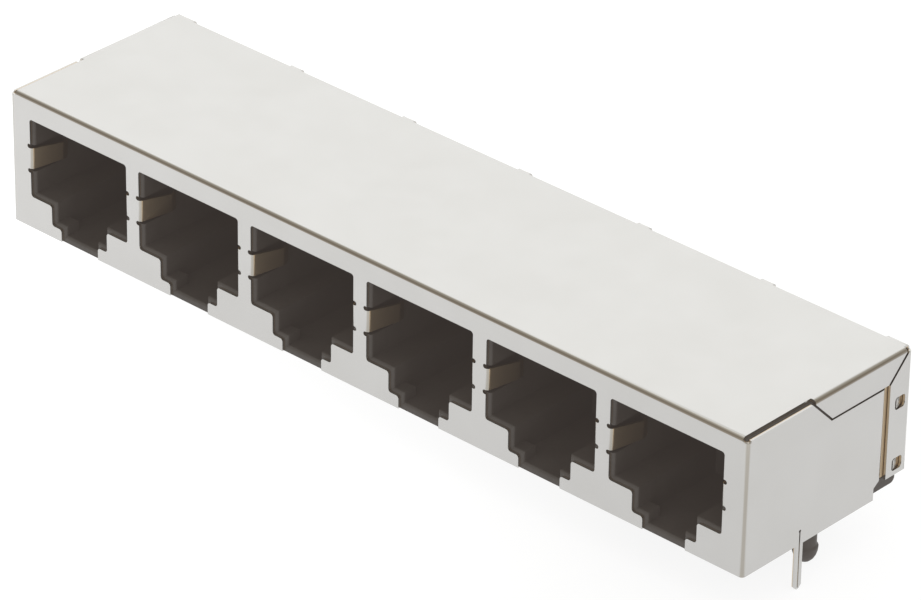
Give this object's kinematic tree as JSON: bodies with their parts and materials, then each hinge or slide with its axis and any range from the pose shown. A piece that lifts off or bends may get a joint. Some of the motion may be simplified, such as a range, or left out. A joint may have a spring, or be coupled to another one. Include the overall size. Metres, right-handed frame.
{
  "type": "board jack row",
  "caption": "Shielded right-angle modular jack row for a circuit board: folded metal shield, black housing, formed contacts, latches towards the board.",
  "frame": {"origin": "on the board's surface, at the housing's underside, midway between the two locating pegs", "axes": "+X along the row, -Y the way the ports face, +Z away from the board"},
  "size_m": [0.087, 0.0212, 0.0178],
  "materials": {
    "shield_plate": "satin",
    "housing_plastic": "matte",
    "carrier_plastic": "matte",
    "contact_metal": "satin"
  },
  "bodies": {
    "root": {"shield": "shield_plate", "housing": "housing_plastic", "carrier_1": "carrier_plastic", "carrier_2": "carrier_plastic", "carrier_3": "carrier_plastic", "carrier_4": "carrier_plastic", "carrier_5": "carrier_plastic", "carrier_6": "carrier_plastic", "contact_1_1": "contact_metal", "contact_1_2": "contact_metal", "contact_1_3": "contact_metal", "contact_1_4": "contact_metal", "contact_1_5": "contact_metal", "contact_1_6": "contact_metal", "contact_1_7": "contact_metal", "contact_1_8": "contact_metal", "contact_2_1": "contact_metal", "contact_2_2": "contact_metal", "contact_2_3": "contact_metal", "contact_2_4": "contact_metal", "contact_2_5": "contact_metal", "contact_2_6": "contact_metal", "contact_2_7": "contact_metal", "contact_2_8": "contact_metal", "contact_3_1": "contact_metal", "contact_3_2": "contact_metal", "contact_3_3": "contact_metal", "contact_3_4": "contact_metal", "contact_3_5": "contact_metal", "contact_3_6": "contact_metal", "contact_3_7": "contact_metal", "contact_3_8": "contact_metal", "contact_4_1": "contact_metal", "contact_4_2": "contact_metal", "contact_4_3": "contact_metal", "contact_4_4": "contact_metal", "contact_4_5": "contact_metal", "contact_4_6": "contact_metal", "contact_4_7": "contact_metal", "contact_4_8": "contact_metal", "contact_5_1": "contact_metal", "contact_5_2": "contact_metal", "contact_5_3": "contact_metal", "contact_5_4": "contact_metal", "contact_5_5": "contact_metal", "contact_5_6": "contact_metal", "contact_5_7": "contact_metal", "contact_5_8": "contact_metal", "contact_6_1": "contact_metal", "contact_6_2": "contact_metal", "contact_6_3": "contact_metal", "contact_6_4": "contact_metal", "contact_6_5": "contact_metal", "contact_6_6": "contact_metal", "contact_6_7": "contact_metal", "contact_6_8": "contact_metal"}
  },
  "joints": []
}
